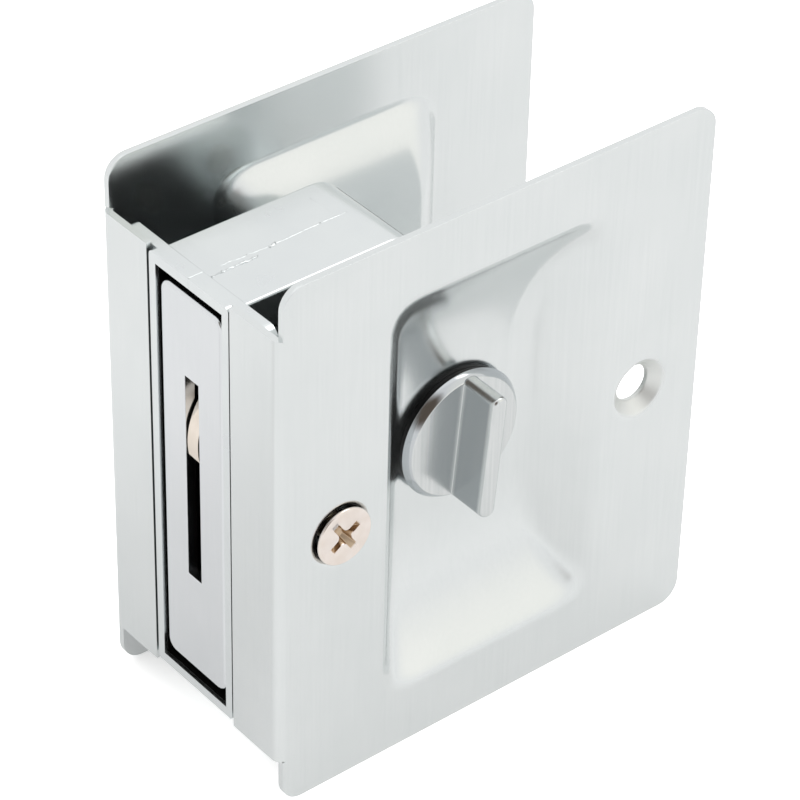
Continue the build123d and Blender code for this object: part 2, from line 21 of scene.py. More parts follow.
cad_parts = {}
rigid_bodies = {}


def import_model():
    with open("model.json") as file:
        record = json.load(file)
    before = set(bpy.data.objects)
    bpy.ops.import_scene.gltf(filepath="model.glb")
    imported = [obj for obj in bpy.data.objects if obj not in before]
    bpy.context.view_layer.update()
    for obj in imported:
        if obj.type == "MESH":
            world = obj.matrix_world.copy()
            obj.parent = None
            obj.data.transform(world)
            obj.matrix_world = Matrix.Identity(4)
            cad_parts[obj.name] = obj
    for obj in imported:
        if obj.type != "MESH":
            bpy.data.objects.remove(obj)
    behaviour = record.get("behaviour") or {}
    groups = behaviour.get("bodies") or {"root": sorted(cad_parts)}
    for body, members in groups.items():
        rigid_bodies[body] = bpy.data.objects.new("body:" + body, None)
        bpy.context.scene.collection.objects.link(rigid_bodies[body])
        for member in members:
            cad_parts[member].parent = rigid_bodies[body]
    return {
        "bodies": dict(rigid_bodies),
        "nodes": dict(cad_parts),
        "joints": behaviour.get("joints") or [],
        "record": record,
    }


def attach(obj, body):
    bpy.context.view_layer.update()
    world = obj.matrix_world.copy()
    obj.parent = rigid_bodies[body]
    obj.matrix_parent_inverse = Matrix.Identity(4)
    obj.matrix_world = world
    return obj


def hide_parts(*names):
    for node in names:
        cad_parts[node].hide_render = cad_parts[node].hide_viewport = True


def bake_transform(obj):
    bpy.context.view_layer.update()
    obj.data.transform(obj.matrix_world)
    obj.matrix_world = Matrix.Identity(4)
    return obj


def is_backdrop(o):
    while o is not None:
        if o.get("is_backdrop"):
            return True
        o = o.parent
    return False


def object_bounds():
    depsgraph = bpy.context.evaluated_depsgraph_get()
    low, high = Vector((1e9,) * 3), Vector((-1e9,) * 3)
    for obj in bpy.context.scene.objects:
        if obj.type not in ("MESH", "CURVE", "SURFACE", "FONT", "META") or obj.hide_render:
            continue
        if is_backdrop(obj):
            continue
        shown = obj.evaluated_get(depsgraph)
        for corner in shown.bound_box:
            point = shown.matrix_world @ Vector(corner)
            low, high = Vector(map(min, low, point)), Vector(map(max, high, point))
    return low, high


LOG = logging.getLogger("pocket_door_lock")
Point = tuple[float, float]
Corner = tuple[float, float, float]
Colour = tuple[float, float, float, float]
Row = list[bmesh.types.BMVert]

MM = 0.001
# Less than any real size, in millimetres or radians.
TINY = 1e-6
# Points of a finished mesh that lie this close become one.
JOIN = 1e-5
# Share of a step by which rounding may miss a whole number of steps.
STEP_SLACK = 0.01
# How much more large faces count than small ones in a vertex normal, of 100.
FLAT_WEIGHT = 80


class Side(Enum):
    """Face of the door, as the word in the names of its pieces."""

    FRONT = "front"
    REAR = "rear"


class Body(Enum):
    """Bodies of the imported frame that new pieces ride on."""

    LOCK = "lock_body"
    TURN = "turn"
    PULL = "pull"


# Outlines


def fillet_path(corners: Sequence[Corner], step_deg: float = 6.0) -> list[Point]:
    """Round the corners of a closed outline.

    Args:
        corners: Corners in order, each with its own radius (0 leaves it sharp).
        step_deg: Largest angle between neighbouring points of an arc.

    Returns:
        The points of the rounded outline.
    """
    path: list[Point] = []
    for index, (u, v, radius) in enumerate(corners):
        here = Vector((u, v))
        before = (Vector(corners[index - 1][:2]) - here).normalized()
        after = (Vector(corners[(index + 1) % len(corners)][:2]) - here).normalized()
        turn = math.pi - before.angle(after)
        if radius <= 0 or turn < TINY:
            path.append((u, v))
            continue
        start = here + before * radius * math.tan(turn / 2)
        centre = here + (before + after).normalized() * radius / math.cos(turn / 2)
        way = 1.0 if before.x * after.y - before.y * after.x < 0 else -1.0
        steps = max(2, math.ceil(math.degrees(turn) / step_deg - STEP_SLACK))
        for k in range(steps + 1):
            spoke = Matrix.Rotation(way * turn * k / steps, 2) @ (start - centre)
            path.append(tuple(centre + spoke))
    return path


def box_path(half_u: float, half_v: float, radius: float, step_deg: float) -> list[Point]:
    """Rounded rectangle about the origin.

    Args:
        half_u: Half of its first side.
        half_v: Half of its second side.
        radius: Corner radius.
        step_deg: Largest angle between points of a corner.

    Returns:
        The points of the outline, anticlockwise.
    """
    signs = ((1, -1), (1, 1), (-1, 1), (-1, -1))
    return fillet_path([(a * half_u, b * half_v, radius) for a, b in signs], step_deg)


def circle_path(centre: Point, radius: float, count: int = 64) -> list[Point]:
    """Points of a circle.

    Args:
        centre: Its centre.
        radius: Its radius.
        count: Number of points.

    Returns:
        The points, anticlockwise.
    """
    angles = [2 * math.pi * k / count for k in range(count)]
    return [(centre[0] + radius * math.cos(a), centre[1] + radius * math.sin(a)) for a in angles]


def blend_height(difference: float, width: float) -> float:
    """How far a rounded meeting of two slopes stands off the sharp one.

    Args:
        difference: Difference of the two heights.
        width: Difference at which the rounding ends.

    Returns:
        The height of the rounding, greatest where both are equal.
    """
    share = max(width - abs(difference), 0.0) / width
    return share**2 * width / 4


def graded_lines(stops: Sequence[Point], fixed: float) -> list[float]:
    """Grid lines on both sides of zero whose pitch changes smoothly.

    Args:
        stops: (place, pitch) pairs from zero outwards.
        fixed: A place of the stops that has to be a grid line.

    Returns:
        The lines' places, in rising order.
    """
    fine = 200
    digits = 6
    half: list[float] = []
    spans = [[stop for stop in stops if stop[0] <= fixed], [stop for stop in stops if stop[0] >= fixed]]
    for span in spans:
        places, counts = [span[0][0]], [0.0]
        for (start, pitch), (end, next_pitch) in zip(span, span[1:]):
            step = (end - start) / fine
            for k in range(fine):
                here = pitch + (next_pitch - pitch) * (k + 0.5) / fine
                places.append(start + step * (k + 1))
                counts.append(counts[-1] + step / here)
        total = math.ceil(counts[-1])
        k = 0
        for n in range(total + 1):
            count = counts[-1] * n / total
            while k < len(counts) - 2 and counts[k + 1] < count:
                k += 1
            share = (count - counts[k]) / (counts[k + 1] - counts[k])
            half.append(places[k] + share * (places[k + 1] - places[k]))
    half = sorted(set(round(place, digits) for place in half))
    return [-place for place in reversed(half[1:])] + half


def frame_ring(grid: Sequence[Row], left: int, right: int, low: int, high: int) -> Row:
    """Closed ring of vertices along the border of a part of a grid.

    Args:
        grid: Rows of vertices.
        left: First column.
        right: Last column.
        low: First row.
        high: Last row.

    Returns:
        The vertices in order, anticlockwise.
    """
    ring = [grid[low][k] for k in range(left, right)]
    ring += [grid[j][right] for j in range(low, high)]
    ring += [grid[high][k] for k in range(right, left, -1)]
    return ring + [grid[j][left] for j in range(high, low, -1)]


# Meshes


class Workpiece:
    """A mesh that is being made, in millimetres."""

    def __init__(self) -> None:
        """Start with an empty mesh."""
        self.bm = bmesh.new()

    def ring(self, points: Iterable[Sequence[float]]) -> Row:
        """Add a row of vertices.

        Args:
            points: Their places.

        Returns:
            The new vertices, in order.
        """
        return [self.bm.verts.new(point) for point in points]

    def bridge(self, first: Row, second: Row, closed: bool = True) -> None:
        """Join two rows of equal length with faces.

        Args:
            first: One row of vertices.
            second: The other row.
            closed: Whether the rows are closed rings.
        """
        count = len(first)
        for k in range(count if closed else count - 1):
            n = (k + 1) % count
            self.bm.faces.new((first[k], first[n], second[n], second[k]))

    def fill(self, *rings: Row) -> None:
        """Fill the flat area between one outer ring and the rings inside it.

        Args:
            *rings: Closed rings of vertices that lie in one plane.
        """
        edges = []
        for ring in rings:
            for k, vert in enumerate(ring):
                pair = (vert, ring[(k + 1) % len(ring)])
                edges.append(self.bm.edges.get(pair) or self.bm.edges.new(pair))
        bmesh.ops.triangle_fill(self.bm, edges=edges, use_beauty=True)

    def loft(self, rows: Sequence[Row], closed: bool = True, capped: bool = False) -> None:
        """Join each row to the next one.

        Args:
            rows: Rows of equal length.
            closed: Whether the rows are closed rings.
            capped: Whether the first and the last row are filled.
        """
        for first, second in zip(rows, rows[1:]):
            self.bridge(first, second, closed)
        if capped:
            self.fill(rows[0])
            self.fill(rows[-1])

    def lathe(self, profile: Sequence[Point], centre: Point = (0.0, 0.0), count: int = 96) -> None:
        """Turn a profile about an axis along Y.

        Args:
            profile: (radius, y) points, from the axis and back to it.
            centre: X and Z of the axis.
            count: Number of steps round the axis.
        """
        rows = []
        for radius, y in profile:
            spots = [centre] if radius < TINY else circle_path(centre, radius, count)
            rows.append(self.ring((u, y, v) for u, v in spots))
        for first, second in zip(rows, rows[1:]):
            if len(first) == len(second):
                self.bridge(first, second)
                continue
            tip, rim = (first[0], second) if len(first) == 1 else (second[0], first)
            for k in range(count):
                self.bm.faces.new((tip, rim[k], rim[(k + 1) % count]))

    def mirror(self) -> None:
        """Turn the piece into its mirror image across the door's mid-plane."""
        bmesh.ops.scale(self.bm, vec=(1, -1, 1), verts=self.bm.verts)
        bmesh.ops.reverse_faces(self.bm, faces=self.bm.faces)

    def done(self, name: str, closed: bool = True) -> bpy.types.Object:
        """Write the mesh in metres as a new object.

        Args:
            name: The piece's name.
            closed: Whether it is a closed solid, whose faces are then turned outwards.

        Returns:
            The new object, smooth shaded.
        """
        bmesh.ops.remove_doubles(self.bm, verts=self.bm.verts, dist=JOIN)
        if closed:
            bmesh.ops.recalc_face_normals(self.bm, faces=self.bm.faces)
        bmesh.ops.scale(self.bm, vec=(MM, MM, MM), verts=self.bm.verts)
        mesh = bpy.data.meshes.new(name)
        self.bm.to_mesh(mesh)
        self.bm.free()
        mesh.shade_smooth()
        obj = bpy.data.objects.new(name, mesh)
        bpy.context.scene.collection.objects.link(obj)
        return obj


def add_modifier(obj: bpy.types.Object, kind: str, **settings: Any) -> None:
    """Add a modifier to a piece.

    Args:
        obj: The piece.
        kind: Blender's name for the modifier.
        **settings: Its settings.
    """
    modifier = obj.modifiers.new(kind.title(), kind)
    for key, value in settings.items():
        setattr(modifier, key, value)


def even_shading(obj: bpy.types.Object) -> None:
    """Keep a piece's flats flat to the eye beside its rounded edges."""
    add_modifier(obj, "WEIGHTED_NORMAL", weight=FLAT_WEIGHT, keep_sharp=True)


def round_edges(obj: bpy.types.Object, width: float, segments: int = 3, angle: float = 40.0) -> None:
    """Break a piece's sharp edges.

    Args:
        obj: The piece.
        width: Width of the broken edge in millimetres.
        segments: Steps across the edge.
        angle: Edges sharper than this many degrees are broken.
    """
    limit = math.radians(angle)
    add_modifier(
        obj, "BEVEL", width=width * MM, segments=segments, limit_method="ANGLE", angle_limit=limit
    )
    even_shading(obj)


def carve(obj: bpy.types.Object, cutter: bpy.types.Object) -> None:
    """Cut one piece out of another and remove the cutter.

    Args:
        obj: The piece that is cut.
        cutter: The piece that is taken away.
    """
    add_modifier(obj, "BOOLEAN", object=cutter, operation="DIFFERENCE", solver="EXACT")
    bpy.context.view_layer.update()
    shape = obj.evaluated_get(bpy.context.evaluated_depsgraph_get())
    cut = bpy.data.meshes.new_from_object(shape)
    obj.modifiers.clear()
    old = obj.data
    obj.data = cut
    bpy.data.meshes.remove(old)
    cut.name = obj.name
    bpy.data.objects.remove(cutter)


# Finishes


def linear(hex_colour: str) -> Colour:
    """Turn an sRGB hex colour into the linear colour that shaders take.

    Args:
        hex_colour: Six hex digits, with or without a leading #.

    Returns:
        Linear red, green, blue and an alpha of 1.
    """
    digits = hex_colour.lstrip("#")
    channels = [int(digits[k : k + 2], 16) / 255 for k in (0, 2, 4)]
    flat = [c / 12.92 if c <= 0.04045 else ((c + 0.055) / 1.055) ** 2.4 for c in channels]
    return (flat[0], flat[1], flat[2], 1.0)


def add_node(
    tree: bpy.types.NodeTree, kind: str, inputs: dict[Any, Any] | None = None, **settings: Any
) -> bpy.types.Node:
    """Add a shader node with its settings and links.

    Args:
        tree: The node tree.
        kind: Blender's name for the node.
        inputs: Socket name or number to a value, or to an output socket that is linked to it.
        **settings: Attributes of the node.

    Returns:
        The node.
    """
    node = tree.nodes.new(kind)
    for key, value in settings.items():
        setattr(node, key, value)
    for key, value in (inputs or {}).items():
        if isinstance(value, bpy.types.NodeSocket):
            tree.links.new(value, node.inputs[key])
        else:
            node.inputs[key].default_value = value
    return node


@dataclass(frozen=True)
class Zone:
    """Part of a piece given its own colour and roughness, for another finish, for painted shade, or for a
    painted reflection.

    Attributes:
        colour: Its colour, as sRGB hex.
        roughness: Its roughness.
        centre: Middle of the box that it lies in.
        half: Half of that box's sides.
        inner: Distance from a line along Y through the centre where it starts.
        outer: Distance from that line where it ends.
        fade: Width over which it fades.
    """

    colour: str
    roughness: float
    centre: Corner
    half: Corner
    inner: float = -1.0
    outer: float = 1000.0
    fade: float = 0.1

    def mask(self, tree: bpy.types.NodeTree, place: bpy.types.NodeSocket) -> bpy.types.NodeSocket:
        """Mark the zone in a material.

        Args:
            tree: The material's nodes.
            place: The object's own coordinates.

        Returns:
            A socket that is 1 in the zone and 0 outside.
        """
        vector, number = "ShaderNodeVectorMath", "ShaderNodeMath"
        middle = tuple(size * MM for size in self.centre)
        reach = tuple(size * MM for size in self.half)
        level = (1.0, 0.0, 1.0)
        offset = add_node(tree, vector, {0: place, 1: middle}, operation="SUBTRACT").outputs[0]
        away = add_node(tree, vector, {0: offset}, operation="ABSOLUTE").outputs[0]
        left = add_node(tree, vector, {0: reach, 1: away}, operation="SUBTRACT").outputs[0]
        sides = add_node(tree, "ShaderNodeSeparateXYZ", {0: left}).outputs
        spoke = add_node(tree, vector, {0: offset, 1: level}, operation="MULTIPLY").outputs[0]
        radius = add_node(tree, vector, {0: spoke}, operation="LENGTH").outputs["Value"]
        outside = add_node(tree, number, {0: self.outer * MM, 1: radius}, operation="SUBTRACT").outputs[0]
        inside = add_node(tree, number, {0: radius, 1: self.inner * MM}, operation="SUBTRACT").outputs[0]
        least = sides[0]
        for room in (sides[1], sides[2], outside, inside):
            least = add_node(tree, number, {0: least, 1: room}, operation="MINIMUM").outputs[0]
        edge = {"Value": least, "From Min": 0.0, "From Max": self.fade * MM}
        return add_node(tree, "ShaderNodeMapRange", edge).outputs["Result"]


@dataclass(frozen=True)
class Finish:
    """A material, named for what it is and how its surface was made.

    Attributes:
        name: The material's name.
        slot: The record's slot that it belongs to; not used.
        colour: Its main colour, as sRGB hex.
        shade: The darker colour that its mottle goes to.
        metallic: 1 for a metal, 0 for a plastic.
        roughness: Roughness of the smooth places.
        dullness: Added roughness of the dull places.
        patch_mm: Size of the dull and smooth places.
        patch_detail: Finer steps in their outlines.
        grain_mm: Size of the fine grain, along X, Y and Z.
        grain_detail: Finer steps in the grain.
        grain_height_mm: Height of the fine grain.
        streaks: Share of the grain in the mottle, from 0 to 1.
        noise_span: Levels of the noise that give the shade and the colour.
        brushing: How much further upright brushing spreads a reflection sideways, from 0 to 1.
        specular: Strength of the mirror of a plastic.
        zones: Parts of the surface with their own colour and roughness, some of them painted shade.
    """

    name: str
    slot: str
    colour: str
    shade: str
    metallic: float = 1.0
    roughness: float = 0.3
    dullness: float = 0.08
    patch_mm: float = 14.0
    patch_detail: float = 3.0
    grain_mm: Corner = (0.3, 0.3, 0.3)
    grain_detail: float = 2.0
    grain_height_mm: float = 0.004
    streaks: float = 0.0
    noise_span: Point = (0.3, 0.7)
    brushing: float = 0.0
    specular: float = 0.5
    zones: tuple[Zone, ...] = ()

    def material(self) -> bpy.types.Material:
        """Make the material once, and return the same one after that."""
        found = bpy.data.materials.get(self.name)
        return found if found else self._make()

    def _make(self) -> bpy.types.Material:
        """Build the material's nodes.

        Returns:
            The new material.
        """
        material = bpy.data.materials.new(self.name)
        material.use_nodes = True
        tree = material.node_tree
        tree.nodes.clear()
        noise, mix, levels = "ShaderNodeTexNoise", "ShaderNodeMix", "ShaderNodeMapRange"
        place = add_node(tree, "ShaderNodeTexCoord").outputs["Object"]
        blotches = {"Vector": place, "Scale": 1 / (self.patch_mm * MM), "Detail": self.patch_detail}
        patches = add_node(tree, noise, blotches).outputs["Fac"]
        grain_scale = tuple(1 / (size * MM) for size in self.grain_mm)
        drawn = add_node(tree, "ShaderNodeMapping", {"Vector": place, "Scale": grain_scale})
        lines = {"Vector": drawn.outputs["Vector"], "Scale": 1.0, "Detail": self.grain_detail}
        grain = add_node(tree, noise, lines).outputs["Fac"]
        mottle = add_node(tree, mix, {"Factor": self.streaks, 2: patches, 3: grain}).outputs[0]
        band = {"Value": mottle, "From Min": self.noise_span[0], "From Max": self.noise_span[1]}
        spread = add_node(tree, levels, band).outputs["Result"]
        tones = {"Factor": spread, 6: linear(self.shade), 7: linear(self.colour)}
        colour = add_node(tree, mix, tones, data_type="RGBA").outputs[2]
        polish = {"Value": spread, "To Min": self.roughness + self.dullness, "To Max": self.roughness}
        rough = add_node(tree, levels, polish).outputs["Result"]
        for zone in self.zones:
            mask = zone.mask(tree, place)
            tones = {"Factor": mask, 6: colour, 7: linear(zone.colour)}
            colour = add_node(tree, mix, tones, data_type="RGBA").outputs[2]
            rough = add_node(tree, mix, {"Factor": mask, 2: rough, 3: zone.roughness}).outputs[0]
        relief = {"Height": grain, "Strength": 1.0, "Distance": self.grain_height_mm * MM}
        bump = add_node(tree, "ShaderNodeBump", relief)
        level = add_node(tree, "ShaderNodeTangent", direction_type="RADIAL", axis="Z")
        shader = add_node(
            tree,
            "ShaderNodeBsdfPrincipled",
            {
                "Base Color": colour,
                "Anisotropic": self.brushing,
                "Tangent": level.outputs["Tangent"],
                "Metallic": self.metallic,
                "Roughness": rough,
                "Specular IOR Level": self.specular,
                "Normal": bump.outputs["Normal"],
            },
        )
        add_node(tree, "ShaderNodeOutputMaterial", {"Surface": shader.outputs["BSDF"]})
        return material


# Places along X of the door's edge, the screws, the middle of the case's cavity, and the open holes.
EDGE_X = -35.5
SCREW_X = -25.4
CAVITY_X = EDGE_X + 14.8
FREE_HOLE_X = 25.4

# Real marks of brushing and drawing are under 0.1 mm wide. Here they are drawn 0.2 to 0.4 mm wide, so that
# they show.

# Chrome over drawn and lightly brushed steel sheet: a pale cool mirror, blurred by fine upright scratches.
# The countersinks under the screws are coloured near-black, painted shade for the gap round each head. The
# open
# countersinks are as they left the press: not brushed, and duller than the face.
SATIN_CHROME_SHEET = Finish(
    "satin_chrome_on_drawn_steel",
    "satin_chrome_sheet",
    colour="#E1E4E4",
    shade="#DBDFDF",
    roughness=0.18,
    dullness=0.04,
    grain_mm=(0.3, 0.3, 14.0),
    grain_height_mm=0.0012,
    streaks=0.35,
    zones=(
        # Painted shade: the countersink under each screw head is coloured near-black.
        Zone(
            colour="#2C2420", roughness=0.4, outer=4.75, fade=0.15,
            centre=(SCREW_X, 0.0, 0.0), half=(5.0, 18.1, 5.0),
        ),
        Zone(
            colour="#DFE1DF", roughness=0.45, outer=4.9, fade=0.4,
            centre=(FREE_HOLE_X, 0.0, 0.0), half=(5.2, 18.4, 5.2),
        ),
    ),
)
# Chrome over a polished casting: the same pale tone, a little smoother and with shorter scratches.
SATIN_CHROME_PULL = Finish(
    "satin_chrome_on_cast_pull",
    "satin_chrome_pull",
    colour="#E0E2E4",
    shade="#DADDDF",
    roughness=0.16,
    dullness=0.05,
    grain_mm=(0.3, 0.3, 8.0),
    grain_height_mm=0.0012,
    streaks=0.3,
)
# Thin plating over die-cast zinc as it leaves the tool: pale, faintly mottled and orange-peeled.
# The cavity's walls are coloured near-black, painted shade for the deep slot.
PLATED_CASTING = Finish(
    "plated_zinc_die_casting",
    "plated_casting",
    colour="#E1E5E5",
    shade="#DDE1E2",
    roughness=0.2,
    patch_mm=9.0,
    grain_mm=(0.8, 0.8, 0.8),
    zones=(
        # Painted shade: the walls of the case's cavity are coloured near-black.
        Zone(
            colour="#201F1E", roughness=0.6, fade=0.05,
            centre=(CAVITY_X, 0.0, 0.0), half=(14.2, 6.95, 31.95),
        ),
    ),
)
# Bright chrome over turned zinc: the face is brushed upright, which draws reflections out sideways.
# The chamfered rim is polished, and coloured darker and bluer as a painted reflection. The wing's flanks
# are coloured darker, as painted shade.
CHROME_TURN = Finish(
    "brushed_chrome_on_turned_zinc",
    "chrome_turn",
    colour="#DADCDC",
    shade="#CDD1D1",
    roughness=0.17,
    dullness=0.05,
    patch_mm=6.0,
    grain_mm=(0.4, 0.4, 40.0),
    grain_height_mm=0.002,
    streaks=0.8,
    brushing=0.7,
    zones=(
        # Polished rim, coloured darker and bluer: a painted reflection.
        Zone(
            colour="#C2C6C9", roughness=0.07, inner=8.8,
            centre=(0.0, -11.4, 0.0), half=(12.0, 0.85, 12.0),
        ),
        # Painted shade: the wing's flanks are coloured darker.
        Zone(
            colour="#A6ABAD", roughness=0.16, fade=0.5,
            centre=(0.0, -15.1, 0.0), half=(2.6, 2.7, 9.0),
        ),
    ),
)
# Nickel plate on steel, a warm and slightly yellow mirror.
NICKEL_STEEL = Finish(
    "warm_nickel_on_steel",
    "nickel_steel",
    colour="#EDE3D8",
    shade="#E3D8CB",
    roughness=0.14,
    patch_mm=3.0,
    grain_mm=(0.2, 0.2, 0.2),
    grain_height_mm=0.001,
)
# The same plate on a cold-headed screw, coloured darker and browner in the punched recess.
NICKEL_SCREW = Finish(
    "warm_nickel_on_cold_headed_screw",
    "nickel_steel",
    colour="#EDE4DE",
    shade="#E6DBD2",
    roughness=0.12,
    patch_mm=2.0,
    grain_mm=(0.2, 0.2, 0.2),
    grain_height_mm=0.001,
    zones=(
        Zone(
            colour="#C8B298", roughness=0.3, outer=2.9,
            centre=(SCREW_X, 0.0, 0.0), half=(4.0, 19.12, 4.0),
        ),
    ),
)
# Drawn steel wire and bar, bright and grey, with marks along the drawing.
DRAWN_STEEL = Finish(
    "bright_drawn_steel",
    "bright_steel",
    colour="#C6C6C4",
    shade="#B4B5B5",
    roughness=0.24,
    grain_mm=(0.2, 6.0, 0.2),
)
# Rolled and blued spring strip, darker than the rest and soft in its shine.
SPRING_STEEL = Finish(
    "rolled_spring_steel",
    "spring_steel",
    colour="#AEB0B4",
    shade="#9A9DA3",
    roughness=0.32,
    grain_mm=(0.25, 4.0, 0.25),
)
# Moulded nylon, black, with the faint sheen of a moulded face.
MOULDED_NYLON = Finish(
    "black_moulded_nylon",
    "black_nylon",
    colour="#0D0D0E",
    shade="#080809",
    metallic=0.0,
    roughness=0.38,
    specular=0.25,
)


def dress(obj: bpy.types.Object, finish: Finish, body: Body, *nodes: str) -> None:
    """Give a new piece its finish and body, in place of CAD nodes.

    Args:
        obj: The new piece.
        finish: Its finish.
        body: The body it rides on.
        *nodes: The CAD nodes that it stands for, if any.
    """
    obj.data.materials.clear()
    obj.data.materials.append(finish.material())
    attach(obj, body.value)
    if nodes:
        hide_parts(*nodes)
    stands_for = ", ".join(nodes) or "nothing"
    LOG.info("%s: %s on %s, in place of %s", obj.name, finish.name, body.value, stands_for)


# Sub-assemblies


@dataclass
class FacePlate:
    """Stamped face plate with its finger cup, flange and dimpled holes.

    The skin that the hand touches is made first, and the sheet's thickness is then added behind it.
    """

    side: Side
    width: float = 71.0
    height: float = 82.5
    corner: float = 3.2
    sheet: float = 1.0
    outer_y: float = 18.5
    flange_half: float = 34.0
    flange_end: float = 8.6
    bend: float = 1.5
    bend_steps: int = 10
    tab_inset: float = 0.7
    cup_half_width: float = 17.8
    cup_half_height: float = 31.6
    cup_corner: float = 5.2
    cup_spare: float = 0.4
    cup_depth: float = 8.4
    cup_run: float = 7.1
    cup_flat_half: float = 10.5
    valley_blend: float = 1.7
    lip_blend: float = 1.2
    margin: float = 1.6
    column_pitches: tuple[float, ...] = (0.9, 0.7, 0.4, 0.22, 0.22)
    row_pitches: tuple[float, ...] = (0.9, 0.8, 0.5, 0.24, 0.24)
    floor_window: float = 7.6
    turn_hole: float = 6.1
    hole_spots: Point = (SCREW_X, FREE_HOLE_X)
    hole_radius: float = 2.7
    hole_edge: float = 0.5
    countersink: float = 4.6
    countersink_depth: float = 1.7
    countersink_lip: float = 1.6
    dimple_reach: float = 5.5
    dimple_depth: float = 2.3
    rim_radius: float = 0.22

    def at(self, x: float, depth: float, z: float) -> Corner:
        """Place of a point this deep behind the front face."""
        return (x, -self.outer_y + depth, z)

    def wall_depth(self, x: float, z: float) -> float:
        """Depth of the cup's sloping wall, whose outline has round corners.

        Args:
            x: Place across the plate.
            z: Place up the plate.

        Returns:
            Depth behind the front face, negative outside the cup's mouth.
        """
        a = abs(x) - self.cup_half_width + self.cup_corner
        b = abs(z) - self.cup_half_height - self.cup_spare + self.cup_corner
        inset = min(self.cup_corner - a, self.cup_corner - b)
        if a + inset > 0 and b + inset > 0:
            spread = 2 * self.cup_corner**2 - (a - b) ** 2
            inset = (math.sqrt(max(spread, 0.0)) - a - b) / 2
        return inset * self.cup_depth / self.cup_run

    def sweep_depth(self, z: float) -> float:
        """Depth of the cup's floor, flat in the middle and swept up to both ends.

        Args:
            z: Place up the plate.

        Returns:
            Depth behind the front face, negative beyond the ends.
        """
        run = self.cup_half_height - self.cup_flat_half
        radius = (run**2 + self.cup_depth**2) / (2 * self.cup_depth)
        along = max(abs(z) - self.cup_flat_half, 0.0)
        return self.cup_depth - radius + math.sqrt(radius**2 - along**2)

    def cup_at(self, x: float, z: float) -> float:
        """Depth of the drawn skin, with its valley and lip rounded.

        Args:
            x: Place across the plate.
            z: Place up the plate.

        Returns:
            Depth behind the front face.
        """
        wall, sweep = self.wall_depth(x, z), self.sweep_depth(z)
        depth = min(wall, sweep) - blend_height(wall - sweep, self.valley_blend)
        return max(depth, 0.0) + blend_height(depth, self.lip_blend)

    def cup(self, piece: Workpiece) -> Row:
        """Add the cup's skin to the plate.

        Args:
            piece: The plate's mesh.

        Returns:
            The ring of vertices round the cup, in the plate's flat face.
        """
        window, margin = self.floor_window, self.margin
        mouth_x, mouth_z = self.cup_half_width, self.cup_half_height
        stops_x = (0.0, window, mouth_x - self.cup_run, mouth_x - margin, mouth_x + margin)
        stops_z = (0.0, window, mouth_z - 3 * margin, mouth_z - margin, mouth_z + margin)
        columns = graded_lines(list(zip(stops_x, self.column_pitches)), window)
        rows = graded_lines(list(zip(stops_z, self.row_pitches)), window)
        grid = [piece.ring(self.at(x, self.cup_at(x, z), z) for x in columns) for z in rows]
        # The turn's hole takes the place of the grid in a square window of the cup's floor.
        inside = window + TINY
        for j in range(len(rows) - 1):
            for k in range(len(columns) - 1):
                middle_x = (columns[k] + columns[k + 1]) / 2
                middle_z = (rows[j] + rows[j + 1]) / 2
                if abs(middle_x) < inside and abs(middle_z) < inside:
                    continue
                piece.bm.faces.new((grid[j][k], grid[j][k + 1], grid[j + 1][k + 1], grid[j + 1][k]))
        near_x = [k for k, x in enumerate(columns) if abs(x) < inside]
        near_z = [j for j, z in enumerate(rows) if abs(z) < inside]
        border = frame_ring(grid, near_x[0], near_x[-1], near_z[0], near_z[-1])
        hole = piece.ring(self.at(x, self.cup_depth, z) for x, z in circle_path((0, 0), self.turn_hole))
        piece.fill(border, hole)
        spare = [vert for vert in piece.bm.verts if not vert.link_edges]
        bmesh.ops.delete(piece.bm, geom=spare, context="VERTS")
        return frame_ring(grid, 0, len(columns) - 1, 0, len(rows) - 1)

    def dimples(self, piece: Workpiece) -> list[Row]:
        """Add the dimpled countersinks.

        Args:
            piece: The plate's mesh.

        Returns:
            The ring round each dimple, in the plate's flat face.
        """
        profile = fillet_path(
            [
                (self.dimple_reach, 0.0, 0),
                (self.countersink, 0.0, self.countersink_lip),
                (self.hole_radius, self.countersink_depth, self.hole_edge),
                (self.hole_radius, self.dimple_depth, 0),
            ]
        )
        mouths = []
        for spot in self.hole_spots:
            cone = []
            for radius, depth in profile:
                cone.append(piece.ring(self.at(x, depth, z) for x, z in circle_path((spot, 0), radius)))
            piece.loft(cone)
            mouths.append(cone[0])
        return mouths

    def flange(self, piece: Workpiece, root: Row) -> None:
        """Add the bend and the flange at the door's edge.

        Args:
            piece: The plate's mesh.
            root: The two vertices of the flat face where the bend starts, lower one first.
        """
        edge = -self.width / 2
        places = []
        for k in range(1, self.bend_steps + 1):
            a = math.pi / 2 * k / self.bend_steps
            places.append((edge + self.bend * (1 - math.sin(a)), self.bend * (1 - math.cos(a))))
        places.append((edge, self.outer_y - self.flange_end))
        ends = (-self.flange_half, self.flange_half)
        rows = [piece.ring(self.at(x, depth, z) for z in ends) for x, depth in places]
        piece.loft([root, *rows], closed=False)

    def skin(self) -> Workpiece:
        """Make the front plate's outer skin, one face thick.

        Returns:
            The open mesh.
        """
        piece = Workpiece()
        edge = -self.width / 2
        bend_x = edge + self.bend
        tab = edge + self.tab_inset
        top = self.height / 2
        mouth = self.cup(piece)
        corners: list[Corner] = [
            (bend_x, -self.flange_half, 0),
            (tab, -self.flange_half, 0),
            (tab, -top, self.corner),
            (-edge, -top, self.corner),
            (-edge, top, self.corner),
            (tab, top, self.corner),
            (tab, self.flange_half, 0),
            (bend_x, self.flange_half, 0),
        ]
        outline = piece.ring(self.at(x, 0, z) for x, z in fillet_path(corners))
        piece.fill(outline, mouth, *self.dimples(piece))
        self.flange(piece, [outline[0], outline[-1]])
        bmesh.ops.recalc_face_normals(piece.bm, faces=piece.bm.faces)
        foremost = max(piece.bm.faces, key=lambda face: -face.calc_center_median().y)
        if foremost.normal.y > 0:
            bmesh.ops.reverse_faces(piece.bm, faces=piece.bm.faces)
        return piece

